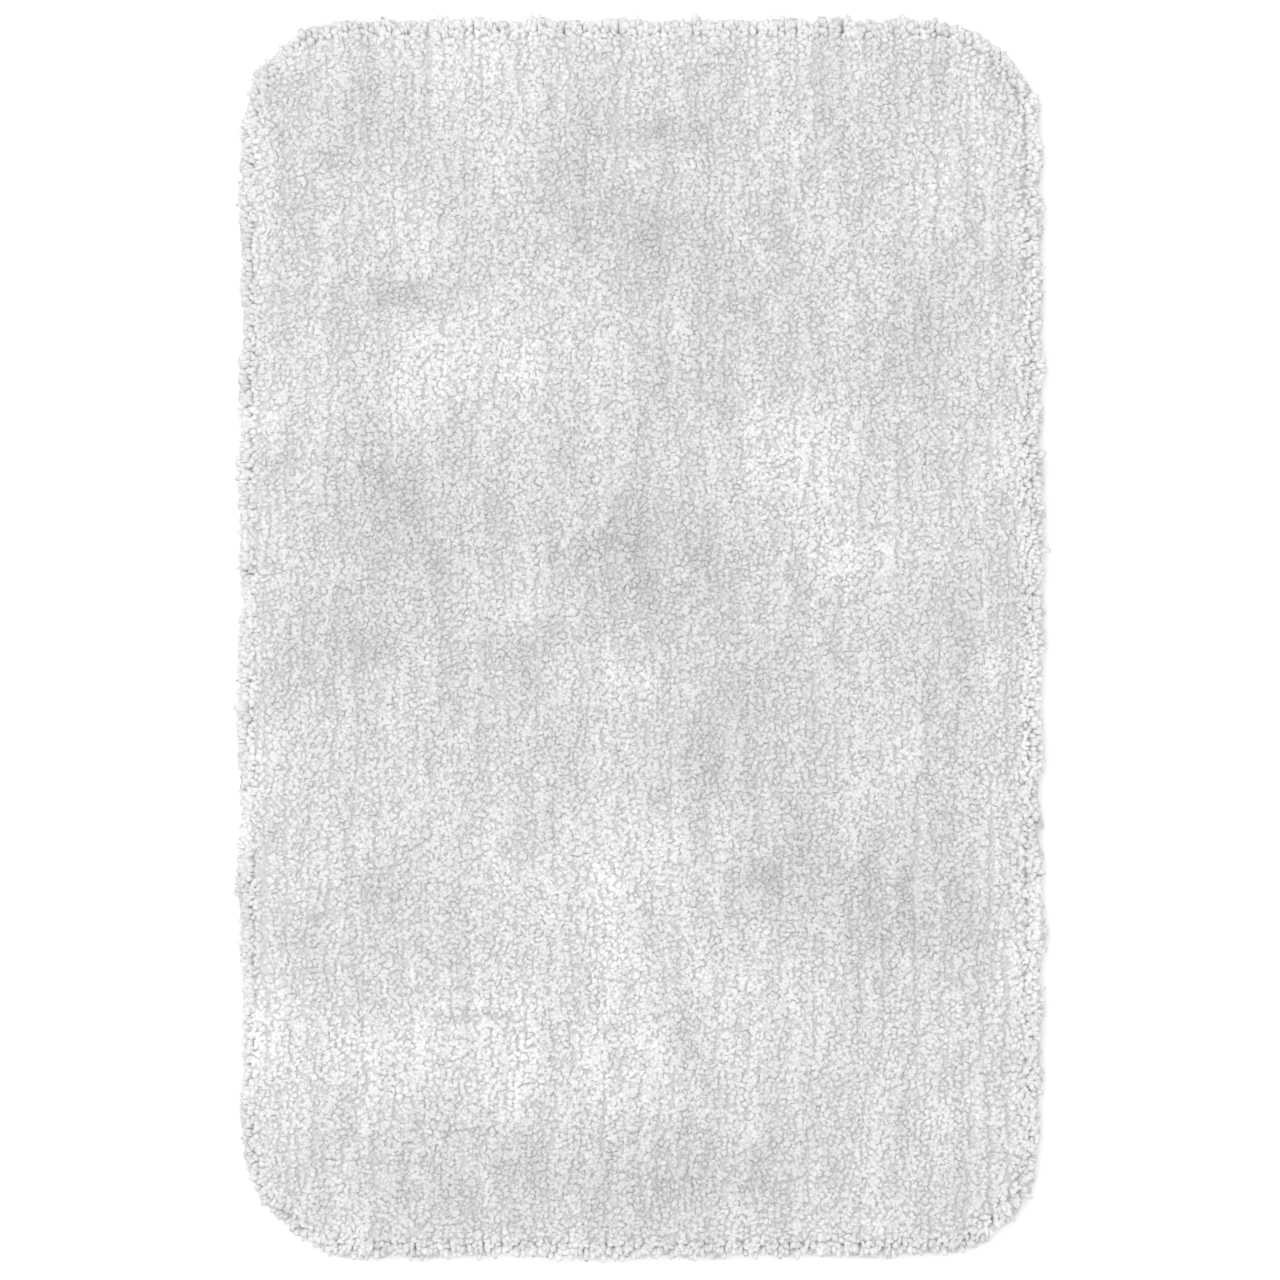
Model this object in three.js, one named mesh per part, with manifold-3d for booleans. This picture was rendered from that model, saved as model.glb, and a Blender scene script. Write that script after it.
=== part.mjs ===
// Bath mat: rows of cut-pile tufts stitched through a backing cloth, a rubber back coat that grips the
// floor, a binding tape sewn round the edge with a lockstitch, and a blank care label in that seam.
// Millimetres, +Z up. X runs across the mat and Y along it. The origin is on the floor, under the centre.

import * as THREE from 'three';
import { mergeVertices } from 'three/addons/utils/BufferGeometryUtils.js';
import Module from 'manifold-3d';

// Overall size of the mat, measured over its pile.
const MAT_WIDTH = 550;
const MAT_LENGTH = 850;
const MAT_HEIGHT = 25;
const CORNER_RADIUS = 80;

// Clearance between pieces that touch on the real mat.
const GAP = 0.3;

// Thickness of each layer.
const TAPE_THICKNESS = 0.7;
const CLOTH_THICKNESS = 1.0;
const LABEL_THICKNESS = 0.3;
const THREAD_THICKNESS = 0.4;
const THREAD_WIDTH = 0.7;

// The layers stacked up from the floor at the bound edge.
const BOBBIN_THREAD_BOTTOM = 0.1;
const LABEL_BOTTOM = BOBBIN_THREAD_BOTTOM + THREAD_THICKNESS + GAP;
const BINDING_BOTTOM = LABEL_BOTTOM + LABEL_THICKNESS + GAP;
const COAT_TOP = BINDING_BOTTOM + TAPE_THICKNESS;
const CLOTH_BOTTOM = COAT_TOP + GAP;
const CLOTH_TOP = CLOTH_BOTTOM + CLOTH_THICKNESS;
const BINDING_TOP = CLOTH_TOP + GAP + TAPE_THICKNESS;
const NEEDLE_THREAD_BOTTOM = BINDING_TOP + GAP;
const NEEDLE_THREAD_TOP = NEEDLE_THREAD_BOTTOM + THREAD_THICKNESS;
const PILE_BOTTOM = CLOTH_TOP + GAP;

// The pile: rows of tufts along the mat, taken ten rows to a band. Its edge rolls out over the binding.
const ROW_PITCH = 3.97;
const ROWS_PER_BAND = 10;
const BAND_COUNT = 13;
const EDGE_ROLL = 20;
const EDGE_ROLL_HEIGHT = 10;
const EDGE_ROLL_STEPS = 4;

// The binding tape: how far the pile hangs over it, and how far it turns in on each face.
const PILE_OVERHANG = 5;
const TAPE_TURN_UNDER = 8;
const TAPE_TURN_OVER = 4;
const SEAM_INSET = 2.5;

// The care label: a folded strip caught in the seam, midway along one short end of the mat.
const LABEL_WIDTH = 25;
const LABEL_LENGTH = 38;
const LABEL_CENTRE_X = 0;
const LABEL_SEAM_ALLOWANCE = 2;

// Flat pieces used to cut others reach this far past them.
const CUT_MARGIN = 10;
const CORNER_STEPS = 8;

const FINISHES = {
  pile: { color: 0xe4e3e5, roughness: 0.95, metalness: 0 },
  cloth: { color: 0xdedbd3, roughness: 0.9, metalness: 0 },
  rubber: { color: 0xe2ded2, roughness: 0.55, metalness: 0 },
  tape: { color: 0xe9e8e6, roughness: 0.8, metalness: 0 },
  thread: { color: 0xf0efed, roughness: 0.6, metalness: 0 },
  satin: { color: 0xf4f4f2, roughness: 0.35, metalness: 0 },
};

const wasm = await Module();
wasm.setup();

// Turns a closed three.js geometry into a solid that can be cut.
function solidOf(geometry) {
  const bare = geometry.clone();
  bare.deleteAttribute('normal');
  bare.deleteAttribute('uv');
  const merged = mergeVertices(bare);
  const mesh = new wasm.Mesh({
    numProp: 3,
    vertProperties: new Float32Array(merged.attributes.position.array),
    triVerts: new Uint32Array(merged.index.array),
  });
  return new wasm.Manifold(mesh);
}

// Turns a cut solid back into a three.js geometry.
function geometryOf(solid) {
  const mesh = solid.getMesh();
  const geometry = new THREE.BufferGeometry();
  geometry.setAttribute('position', new THREE.BufferAttribute(mesh.vertProperties, mesh.numProp));
  geometry.setIndex(new THREE.BufferAttribute(mesh.triVerts, 1));
  geometry.computeVertexNormals();
  return geometry;
}

function piece(name, solid, finish) {
  const material = new THREE.MeshStandardMaterial(FINISHES[finish]);
  const mesh = new THREE.Mesh(geometryOf(solid), material);
  mesh.name = name;
  return mesh;
}

// The outline of the mat, drawn in by the same distance all round.
function outline(inset) {
  const x = MAT_WIDTH / 2 - inset;
  const y = MAT_LENGTH / 2 - inset;
  const r = CORNER_RADIUS - inset;
  const shape = new THREE.Shape();
  shape.moveTo(x, r - y);
  shape.lineTo(x, y - r);
  shape.absarc(x - r, y - r, r, 0, Math.PI / 2, false);
  shape.lineTo(r - x, y);
  shape.absarc(r - x, y - r, r, Math.PI / 2, Math.PI, false);
  shape.lineTo(-x, r - y);
  shape.absarc(r - x, r - y, r, Math.PI, 1.5 * Math.PI, false);
  shape.lineTo(x - r, -y);
  shape.absarc(x - r, r - y, r, 1.5 * Math.PI, 2 * Math.PI, false);
  return shape;
}

// A flat sheet of the mat's shape, between two heights.
function sheet(inset, bottom, top) {
  const geometry = new THREE.ExtrudeGeometry(outline(inset), {
    depth: top - bottom,
    bevelEnabled: false,
    curveSegments: CORNER_STEPS,
  });
  geometry.translate(0, 0, bottom);
  return solidOf(geometry);
}

// A band that follows the mat's edge, from one inset to another.
function edgeRing(outerInset, innerInset, bottom, top) {
  const opening = sheet(innerInset, bottom - CUT_MARGIN, top + CUT_MARGIN);
  return sheet(outerInset, bottom, top).subtract(opening);
}

function block(centreX, centreY, width, length, bottom, top) {
  const geometry = new THREE.BoxGeometry(width, length, top - bottom);
  geometry.translate(centreX, centreY, (bottom + top) / 2);
  return solidOf(geometry);
}

// The seam runs round the binding, this far in from the edge of the pile.
const seamOuter = PILE_OVERHANG + SEAM_INSET - THREAD_WIDTH / 2;
const seamInner = PILE_OVERHANG + SEAM_INSET + THREAD_WIDTH / 2;
const labelOuterY = -MAT_LENGTH / 2 + PILE_OVERHANG + SEAM_INSET - LABEL_SEAM_ALLOWANCE;
const labelCentreY = labelOuterY + LABEL_LENGTH / 2;

// The rubber coat on the underside, which the mat rests on. The label lies in a shallow bed in it.
function backCoat() {
  const coat = sheet(PILE_OVERHANG + TAPE_TURN_UNDER + GAP, 0, COAT_TOP);
  const bed = block(
    LABEL_CENTRE_X,
    labelCentreY,
    LABEL_WIDTH + 2 * GAP,
    LABEL_LENGTH + 2 * GAP,
    -CUT_MARGIN,
    BINDING_BOTTOM,
  );
  return piece('rubber_back_coat', coat.subtract(bed), 'rubber');
}

// The woven cloth that every tuft is stitched through. Its edge sits inside the folded tape.
function backingCloth() {
  const inset = PILE_OVERHANG + TAPE_THICKNESS + GAP;
  return piece('backing_cloth', sheet(inset, CLOTH_BOTTOM, CLOTH_TOP), 'cloth');
}

// One tape folded round the cut edge, with a wider turn under the mat than over it.
function edgeBinding() {
  const turnUnder = edgeRing(
    PILE_OVERHANG,
    PILE_OVERHANG + TAPE_TURN_UNDER,
    BINDING_BOTTOM,
    BINDING_BOTTOM + TAPE_THICKNESS,
  );
  const wall = edgeRing(
    PILE_OVERHANG,
    PILE_OVERHANG + TAPE_THICKNESS,
    BINDING_BOTTOM,
    BINDING_TOP,
  );
  const turnOver = edgeRing(
    PILE_OVERHANG,
    PILE_OVERHANG + TAPE_TURN_OVER,
    BINDING_TOP - TAPE_THICKNESS,
    BINDING_TOP,
  );
  return piece('edge_binding_tape', turnUnder.add(wall).add(turnOver), 'tape');
}

// The lockstitch that holds the tape: one thread on the pile side and one underneath.
function needleThread() {
  const thread = edgeRing(seamOuter, seamInner, NEEDLE_THREAD_BOTTOM, NEEDLE_THREAD_TOP);
  return piece('binding_needle_thread', thread, 'thread');
}

function bobbinThread() {
  const top = BOBBIN_THREAD_BOTTOM + THREAD_THICKNESS;
  const thread = edgeRing(seamOuter, seamInner, BOBBIN_THREAD_BOTTOM, top);
  return piece('binding_bobbin_thread', thread, 'thread');
}

function careLabel() {
  const top = LABEL_BOTTOM + LABEL_THICKNESS;
  const strip = block(LABEL_CENTRE_X, labelCentreY, LABEL_WIDTH, LABEL_LENGTH, LABEL_BOTTOM, top);
  return piece('care_label', strip, 'satin');
}

// The whole pile as one soft slab with a rounded edge, relieved over the tape and its seam.
function pileBody() {
  const geometry = new THREE.ExtrudeGeometry(outline(EDGE_ROLL), {
    depth: MAT_HEIGHT - PILE_BOTTOM - 2 * EDGE_ROLL_HEIGHT,
    bevelEnabled: true,
    bevelSize: EDGE_ROLL,
    bevelThickness: EDGE_ROLL_HEIGHT,
    bevelSegments: EDGE_ROLL_STEPS,
    curveSegments: CORNER_STEPS,
  });
  geometry.translate(0, 0, PILE_BOTTOM + EDGE_ROLL_HEIGHT);
  const tapeRelief = edgeRing(
    -CUT_MARGIN,
    PILE_OVERHANG + TAPE_TURN_OVER + GAP,
    0,
    BINDING_TOP + GAP,
  );
  const seamRelief = edgeRing(seamOuter - GAP, seamInner + GAP, 0, NEEDLE_THREAD_TOP + GAP);
  return solidOf(geometry).subtract(tapeRelief).subtract(seamRelief);
}

// The pile in bands of neighbouring tuft rows. The outer bands also take the pile that rolls over the edge.
function pileBands() {
  const pile = pileBody();
  const bandWidth = ROW_PITCH * ROWS_PER_BAND;
  const bands = [];
  for (let i = 0; i < BAND_COUNT; i += 1) {
    const first = i === 0;
    const last = i === BAND_COUNT - 1;
    const start = (i - BAND_COUNT / 2) * bandWidth;
    const left = first ? -MAT_WIDTH : start + GAP / 2;
    const right = last ? MAT_WIDTH : start + bandWidth - GAP / 2;
    const slice = block((left + right) / 2, 0, right - left, 2 * MAT_LENGTH, 0, 2 * MAT_HEIGHT);
    const number = String(i + 1).padStart(2, '0');
    bands.push(piece(`pile_band_${number}`, pile.intersect(slice), 'pile'));
  }
  return bands;
}

const mat = new THREE.Group();
mat.add(backCoat());
mat.add(backingCloth());
mat.add(edgeBinding());
mat.add(needleThread());
mat.add(bobbinThread());
mat.add(careLabel());
mat.add(...pileBands());

export default mat;
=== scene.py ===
# %% [markdown]
# # A cut-pile bath mat
# The imported model gives the mat's frame: a rubber back coat, a backing cloth, a bound edge with its seam
# and label, and thirteen plain solids that hold the place of the pile. This lesson keeps those places and
# makes the pieces as they look: about seventy thousand tufts of yarn, a woven cloth, a ribbed rubber coat,
# a folded tape and its stitches. The frame is loaded first, and its box is kept to print beside the
# finished mat's at the end.

import math

import bmesh
import bpy
import numpy as np
from mathutils import Matrix, Vector


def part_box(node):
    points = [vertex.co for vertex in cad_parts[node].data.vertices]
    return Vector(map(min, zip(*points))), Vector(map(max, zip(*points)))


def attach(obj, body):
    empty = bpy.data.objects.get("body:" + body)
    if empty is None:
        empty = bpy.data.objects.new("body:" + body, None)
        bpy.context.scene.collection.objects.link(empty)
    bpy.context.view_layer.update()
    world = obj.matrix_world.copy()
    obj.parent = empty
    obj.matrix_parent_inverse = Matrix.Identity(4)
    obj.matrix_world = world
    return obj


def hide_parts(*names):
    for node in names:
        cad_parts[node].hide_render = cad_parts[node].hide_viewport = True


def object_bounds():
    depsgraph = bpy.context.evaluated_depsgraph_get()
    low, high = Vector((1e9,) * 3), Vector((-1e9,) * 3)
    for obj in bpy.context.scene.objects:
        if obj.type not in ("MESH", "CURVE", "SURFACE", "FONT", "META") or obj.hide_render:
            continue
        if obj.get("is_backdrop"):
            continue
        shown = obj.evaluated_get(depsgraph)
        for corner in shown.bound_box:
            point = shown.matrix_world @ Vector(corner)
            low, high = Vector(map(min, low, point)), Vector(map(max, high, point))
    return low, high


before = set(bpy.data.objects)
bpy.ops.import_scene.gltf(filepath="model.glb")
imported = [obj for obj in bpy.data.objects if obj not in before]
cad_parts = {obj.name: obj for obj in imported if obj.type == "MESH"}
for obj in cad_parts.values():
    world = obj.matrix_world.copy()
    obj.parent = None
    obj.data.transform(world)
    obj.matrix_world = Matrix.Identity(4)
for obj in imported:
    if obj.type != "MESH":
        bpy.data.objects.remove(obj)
cad_low, cad_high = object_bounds()
MM = 0.001
print("mat, in millimetres:", [round(side / MM, 1) for side in cad_high - cad_low])

# %% [markdown]
# ## Camera, floor and light
# The mat is seen from straight above with a long lens, its long side upright in the picture. It lies on a
# plain white floor. One very large soft light hangs over it, a little towards its upper left corner, and
# the world fills the shadows, as white walls do in a studio. So the tufts show by the soft dark gaps
# between them, and hardly by a dark side. The standard view transform keeps white as white.

# %% Set the camera over the mat
PICTURE_HEIGHT = 878.7 * MM
CAMERA_DISTANCE = 3.2
CAMERA_DROP = -1.3 * MM

scene = bpy.context.scene
scene.view_settings.view_transform = "Standard"
camera_data = bpy.data.cameras.new("camera_above")
camera_data.lens = camera_data.sensor_width * CAMERA_DISTANCE / PICTURE_HEIGHT
camera = bpy.data.objects.new("camera_above", camera_data)
camera.location = (0, CAMERA_DROP, CAMERA_DISTANCE + cad_high.z)
scene.collection.objects.link(camera)
scene.camera = camera
print("lens, in millimetres:", round(camera_data.lens, 1))

# %% Light the mat from above
KEY_LIGHT_PLACE = Vector((-0.6, 0.35, 3.1))
KEY_LIGHT_SIZE = 2.8
KEY_LIGHT_WATTS = 68
WORLD_STRENGTH = 0.90

key_data = bpy.data.lights.new("key_light", "AREA")
key_data.size = KEY_LIGHT_SIZE
key_data.energy = KEY_LIGHT_WATTS
key_light = bpy.data.objects.new("key_light", key_data)
key_light.location = KEY_LIGHT_PLACE
key_light.rotation_euler = (-KEY_LIGHT_PLACE).to_track_quat("-Z", "Y").to_euler()
scene.collection.objects.link(key_light)
world = bpy.data.worlds.new("studio")
world.use_nodes = True
background = world.node_tree.nodes["Background"].inputs
background["Color"].default_value = (1.0, 1.0, 1.0, 1.0)
background["Strength"].default_value = WORLD_STRENGTH
scene.world = world

# %% [markdown]
# ## Writing shader maths as expressions
# A finish is a tree of nodes. To keep it readable, one class wraps a socket and turns +, - and * into Math
# nodes, and one class holds the tree and adds any other node with a single method.


# %% Wrap sockets and node trees
class Value:
    """A socket that gives a number or a colour, and that can be used in Python expressions."""

    def __init__(self, finish, socket):
        self.finish = finish
        self.socket = socket

    def __add__(self, other):
        return self.finish.maths("ADD", self, other)

    def __radd__(self, other):
        return self.finish.maths("ADD", other, self)

    def __sub__(self, other):
        return self.finish.maths("SUBTRACT", self, other)

    def __rsub__(self, other):
        return self.finish.maths("SUBTRACT", other, self)

    def __mul__(self, other):
        return self.finish.maths("MULTIPLY", self, other)

    def __rmul__(self, other):
        return self.finish.maths("MULTIPLY", other, self)


class Finish:
    """A node material, built from the surface of one Principled shader."""

    def __init__(self, name, **constants):
        self.material = bpy.data.materials.new(name)
        self.material.use_nodes = True
        self.tree = self.material.node_tree
        self.surface = self.tree.nodes["Principled BSDF"]
        for socket, value in constants.items():
            self.surface.inputs[socket.replace("_", " ")].default_value = value

    def node(self, kind, settings=None, inputs=None, output=0):
        """Adds a node, sets its settings, feeds its sockets and returns one of its outputs."""
        made = self.tree.nodes.new(kind)
        for name, value in (settings or {}).items():
            setattr(made, name, value)
        for name, value in (inputs or {}).items():
            self.feed(made.inputs[name], value)
        return Value(self, made.outputs[output])

    def feed(self, socket, value):
        if isinstance(value, Value):
            self.tree.links.new(value.socket, socket)
        else:
            socket.default_value = value

    def maths(self, operation, first, second):
        return self.node("ShaderNodeMath", {"operation": operation}, {0: first, 1: second})

    def attribute(self, name):
        return self.node("ShaderNodeAttribute", {"attribute_name": name}, output="Fac")

    def place(self, scale=(1, 1, 1)):
        """Object coordinates in metres, stretched along each axis."""
        where = self.node("ShaderNodeTexCoord", output="Object")
        return self.node("ShaderNodeMapping", inputs={"Vector": where, "Scale": scale})

    def coordinate(self, axis):
        """One of the three object coordinates, in metres."""
        where = self.node("ShaderNodeTexCoord", output="Object")
        return self.node("ShaderNodeSeparateXYZ", inputs={"Vector": where}, output=axis)

    def wave(self, value, length):
        """A wave from 0 to 1 that repeats each length."""
        return self.maths("SINE", value * (math.tau / length), 0.0) * 0.5 + 0.5

    def along(self, uv_map, scale):
        """The piece's own UV map, repeated so many times each way."""
        where = self.node("ShaderNodeUVMap", {"uv_map": uv_map})
        return self.node("ShaderNodeMapping", inputs={"Vector": where, "Scale": scale})

    def noise(self, where, scale, detail=2.0, roughness=0.5):
        sockets = {"Vector": where, "Scale": scale, "Detail": detail, "Roughness": roughness}
        return self.node("ShaderNodeTexNoise", inputs=sockets, output="Fac")

    def between(self, value, low, high, start=0.0, end=1.0):
        """The value's way from low to high, as a number from start to end."""
        sockets = {"Value": value, "From Min": low, "From Max": high, "To Min": start, "To Max": end}
        return self.node("ShaderNodeMapRange", inputs=sockets)

    def mix(self, mask, first, second):
        settings = {"data_type": "RGBA"}
        return self.node("ShaderNodeMix", settings, {0: mask, 6: first, 7: second}, output=2)

    def colour(self, value):
        self.feed(self.surface.inputs["Base Color"], value)

    def roughness(self, value):
        self.feed(self.surface.inputs["Roughness"], value)

    def relief(self, height, depth, strength=1.0):
        """Bumps as high as depth, in metres, where height goes from 0 to 1."""
        sockets = {"Height": height, "Distance": depth, "Strength": strength}
        self.feed(self.surface.inputs["Normal"], self.node("ShaderNodeBump", inputs=sockets))


# %% [markdown]
# ## The floor
# The floor isn't part of the mat. It is a plain white plane, wide enough to reach the horizon in low views.

# %% Lay the floor
FLOOR_SIZE = 60


def mesh_from(bm, name):
    """The mesh of a finished bmesh, which is then freed."""
    mesh = bpy.data.meshes.new(name)
    bm.to_mesh(mesh)
    bm.free()
    return mesh


bm = bmesh.new()
bmesh.ops.create_grid(bm, x_segments=1, y_segments=1, size=FLOOR_SIZE / 2)
floor_mesh = mesh_from(bm, "floor")
floor = bpy.data.objects.new("floor", floor_mesh)
scene.collection.objects.link(floor)
floor_finish = Finish("white_floor", Roughness=0.9)
floor_finish.colour((0.96, 0.96, 0.96, 1))
floor_mesh.materials.append(floor_finish.material)
floor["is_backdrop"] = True

# %% [markdown]
# ## The outline of the mat
# Every layer follows the same outline, a rectangle with round corners, drawn in by a different distance.
# The layers' distances come from the frame. A signed distance from that outline tells how far any point
# lies inside it and which way is out, which the tufts near the edge need.

# %% Measure distances from the edge
CORNER_RADIUS = 80 * MM
SAME_PLACE = 1e-6
SNAP = 1e-7
NEVER_ZERO = 1e-9

half_width = cad_high.x
half_length = cad_high.y
cloth_low, cloth_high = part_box("backing_cloth")
tape_low, tape_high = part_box("edge_binding_tape")
coat_low, coat_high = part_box("rubber_back_coat")
needle_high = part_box("binding_needle_thread")[1]
label_low, label_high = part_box("care_label")
TAPE_INSET = half_width - tape_high.x
CLOTH_INSET = half_width - cloth_high.x
COAT_INSET = half_width - coat_high.x
print("tape, cloth and coat lie in from the edge by (mm):")
print([round(inset / MM, 2) for inset in (TAPE_INSET, CLOTH_INSET, COAT_INSET)])


def from_edge(x, y):
    """How far points lie inside the outline, and the unit direction that leads out of it."""
    corner_x = np.abs(x) - (half_width - CORNER_RADIUS)
    corner_y = np.abs(y) - (half_length - CORNER_RADIUS)
    out_x = np.where(corner_x > 0, corner_x, 0)
    out_y = np.where(corner_y > 0, corner_y, 0)
    reach = np.hypot(out_x, out_y)
    inside = CORNER_RADIUS - reach - np.minimum(np.maximum(corner_x, corner_y), 0)
    along_x = corner_x >= corner_y
    safe = np.maximum(reach, NEVER_ZERO)
    way_x = np.where(reach > 0, out_x / safe, np.where(along_x, 1.0, 0.0)) * np.sign(x)
    way_y = np.where(reach > 0, out_y / safe, np.where(along_x, 0.0, 1.0)) * np.sign(y)
    return inside, way_x, way_y


# %% [markdown]
# ## Helpers for the layers
# A flat layer starts as one square face, whose four corners are bevelled round and which is then drawn up
# into a slab. A face at one height can be cut into strips or squares, to be shaped afterwards. The last
# helper puts a finished mesh in the scene and says which plain solids it stands for.


# %% Make a flat body with round corners
def verts_in(geom):
    """The vertices among the parts that an operator made."""
    return [part for part in geom if isinstance(part, bmesh.types.BMVert)]


def flat_body(inset, bottom, top, corner_steps=10):
    """A closed slab with the mat's outline, drawn in by inset. Returns its bmesh and its bottom faces."""
    bm = bmesh.new()
    bmesh.ops.create_grid(bm, x_segments=1, y_segments=1, size=1)
    bmesh.ops.scale(bm, vec=(half_width - inset, half_length - inset, 1), verts=bm.verts[:])
    bmesh.ops.bevel(
        bm,
        geom=bm.verts[:],
        offset=CORNER_RADIUS - inset,
        offset_type="OFFSET",
        affect="VERTICES",
        segments=corner_steps,
        profile=0.5,
        material=-1,
    )
    bmesh.ops.translate(bm, vec=(0, 0, top), verts=bm.verts[:])
    made = bmesh.ops.extrude_face_region(bm, geom=bm.faces[:])
    bmesh.ops.translate(bm, vec=(0, 0, bottom - top), verts=verts_in(made["geom"]))
    bmesh.ops.recalc_face_normals(bm, faces=bm.faces[:])
    return bm


def faces_at(bm, height):
    """The faces that lie flat at one height."""
    return [f for f in bm.faces if all(abs(v.co.z - height) < SAME_PLACE for v in f.verts)]


def cut_across(bm, height, axis, places):
    """Cuts the flat faces at one height along lines square to an axis."""
    faces = faces_at(bm, height)
    geom = list({g for f in faces for g in (f, *f.edges, *f.verts)})
    normal = Vector((1, 0, 0)) if axis == 0 else Vector((0, 1, 0))
    for place in places:
        made = bmesh.ops.bisect_plane(bm, geom=geom, dist=SNAP, plane_co=normal * place, plane_no=normal)
        geom = made["geom"]


def steps(reach, pitch):
    """Evenly spaced places from -reach to reach, without the ends."""
    count = round(2 * reach / pitch)
    return [reach * (2 * step / count - 1) for step in range(1, count)]


def add_piece(name, mesh, finish, slot_name, *stands_for):
    """Puts a finished mesh in the scene, as the piece that stands for CAD nodes."""
    piece = bpy.data.objects.new(name, mesh)
    scene.collection.objects.link(piece)
    mesh.materials.append(finish.material)
    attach(piece, "root")
    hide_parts(*stands_for)
    return piece


def thicken(piece, thickness):
    """Gives a sheet its thickness, half on each side."""
    wall = piece.modifiers.new("thickness", "SOLIDIFY")
    wall.thickness = thickness
    wall.offset = 0


# %% [markdown]
# ## The rubber back coat
# The back of a tufted mat is spread with liquid rubber, which sets over the yarn's back stitches. The
# stitches show through as low ribs, one to a row, and the ribs grip the floor. They could be carved with
# booleans, but a rib is only a wave: the underside is cut into narrow strips, and the cuts are raised and
# lowered. The shallow bed that the label lies in is drawn up out of the same face.

# %% Make the rubber back coat
ROW_PITCH = 3.97 * MM
STITCH_PITCH = 3.2 * MM
CUTS_PER_RIB = 4
RIB_DEPTH = 0.35 * MM
BED_ROOM = 0.3 * MM
BED_TOP = tape_low.z

bm = flat_body(COAT_INSET, coat_low.z, coat_high.z, 16)
cut_pitch = ROW_PITCH / CUTS_PER_RIB
cut_count = int((half_width - COAT_INSET) / cut_pitch)
cut_across(bm, coat_low.z, 0, [cut_pitch * number for number in range(-cut_count, cut_count + 1)])
bed_sides = (label_low.x - BED_ROOM, label_high.x + BED_ROOM)
bed_ends = (label_low.y - BED_ROOM, label_high.y + BED_ROOM)
cut_across(bm, coat_low.z, 0, bed_sides)
cut_across(bm, coat_low.z, 1, bed_ends)
under = faces_at(bm, coat_low.z)
bed = []
for face in under:
    middle = face.calc_center_median()
    if bed_sides[0] < middle.x < bed_sides[1] and bed_ends[0] < middle.y < bed_ends[1]:
        bed.append(face)
for v in {v for face in under for v in face.verts}:
    v.co.z = RIB_DEPTH * (1 - math.cos(math.tau * v.co.x / ROW_PITCH)) / 2
raised = bmesh.ops.extrude_face_region(bm, geom=bed)["geom"]
bmesh.ops.delete(bm, geom=bed, context="FACES")
for v in verts_in(raised):
    v.co.z = BED_TOP
bmesh.ops.recalc_face_normals(bm, faces=bm.faces[:])
coat_mesh = mesh_from(bm, "ribbed_rubber_coat")

rubber = Finish("back_coat_rubber", Roughness=0.6)
across_ribs = rubber.wave(rubber.coordinate("X"), ROW_PITCH)
stitch_bumps = rubber.wave(rubber.coordinate("Y"), STITCH_PITCH) * across_ribs
grain = rubber.noise(rubber.place(), 900, 4.0)
blotches = rubber.noise(rubber.place(), 45, 3.0)
rubber_light = rubber.mix(blotches, (0.76, 0.73, 0.66, 1), (0.84, 0.82, 0.76, 1))
rubber.colour(rubber.mix(stitch_bumps * 0.35, rubber_light, (0.66, 0.63, 0.56, 1)))
rubber.roughness(rubber.between(grain, 0.3, 0.7, 0.52, 0.72))
rubber.relief(stitch_bumps * 0.7 + grain * 0.3, 0.25 * MM)
coat = add_piece("ribbed_rubber_coat", coat_mesh, rubber, "back_coat", "rubber_back_coat")
print("faces in the coat:", len(coat_mesh.polygons))

# %% [markdown]
# ## The backing cloth
# Between the rubber and the pile lies the cloth that the needles stitched the yarn through. It is a plain
# weave of flat tapes. Only slivers of it could ever show, so a flat slab with a woven finish is enough.

# %% Make the backing cloth
CLOTH_THREADS = 1.3 * MM

bm = flat_body(CLOTH_INSET, cloth_low.z, cloth_high.z, 14)
cloth_mesh = mesh_from(bm, "woven_backing")
weave = Finish("backing_weave", Roughness=0.85)
warp = weave.wave(weave.coordinate("X"), CLOTH_THREADS)
weft = weave.wave(weave.coordinate("Y"), CLOTH_THREADS)
crossing = warp * weft + (1 - warp) * (1 - weft)
weave.colour(weave.mix(crossing, (0.62, 0.60, 0.55, 1), (0.80, 0.79, 0.75, 1)))
weave.relief(crossing, 0.3 * MM)
cloth = add_piece("woven_backing", cloth_mesh, weave, "backing_cloth", "backing_cloth")

# %% [markdown]
# ## The binding tape
# A narrow twill tape is folded round the cut edge of the cloth and sewn through. A curve with a bevel could
# follow the outline, but its section would turn at the corners. Here the tape's own section is drawn first,
# two legs and a round fold, and is then carried round the mat with spins: with a shift and no turn along
# each side, and a quarter turn at each corner. The lengths between are cut in four, for the small puckers
# that the stitches pull into it.

# %% Walk round the mat
straight_x = half_width - CORNER_RADIUS
straight_y = half_length - CORNER_RADIUS
THREAD_HALF_WIDTH = 0.35 * MM
SEAM_INSET = half_width - needle_high.x + THREAD_HALF_WIDTH
SEAM_RADIUS = CORNER_RADIUS - SEAM_INSET
SEAM_LENGTH = 4 * (straight_x + straight_y) + math.tau * SEAM_RADIUS


def along_edge(x, y):
    """How far round the mat points lie, measured along the seam, from the lower end of the right side."""
    near_x = np.clip(x, -straight_x, straight_x)
    near_y = np.clip(y, -straight_y, straight_y)
    turn = np.arctan2(y - near_y, x - near_x) % math.tau
    quarter = math.pi / 2
    passed = np.select(
        [turn < quarter, turn < 2 * quarter, turn < 3 * quarter],
        [
            straight_y + near_y,
            2 * straight_y + straight_x - near_x,
            3 * straight_y + 2 * straight_x - near_y,
        ],
        4 * straight_y + 3 * straight_x + near_x,
    )
    return passed + turn * SEAM_RADIUS


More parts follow.
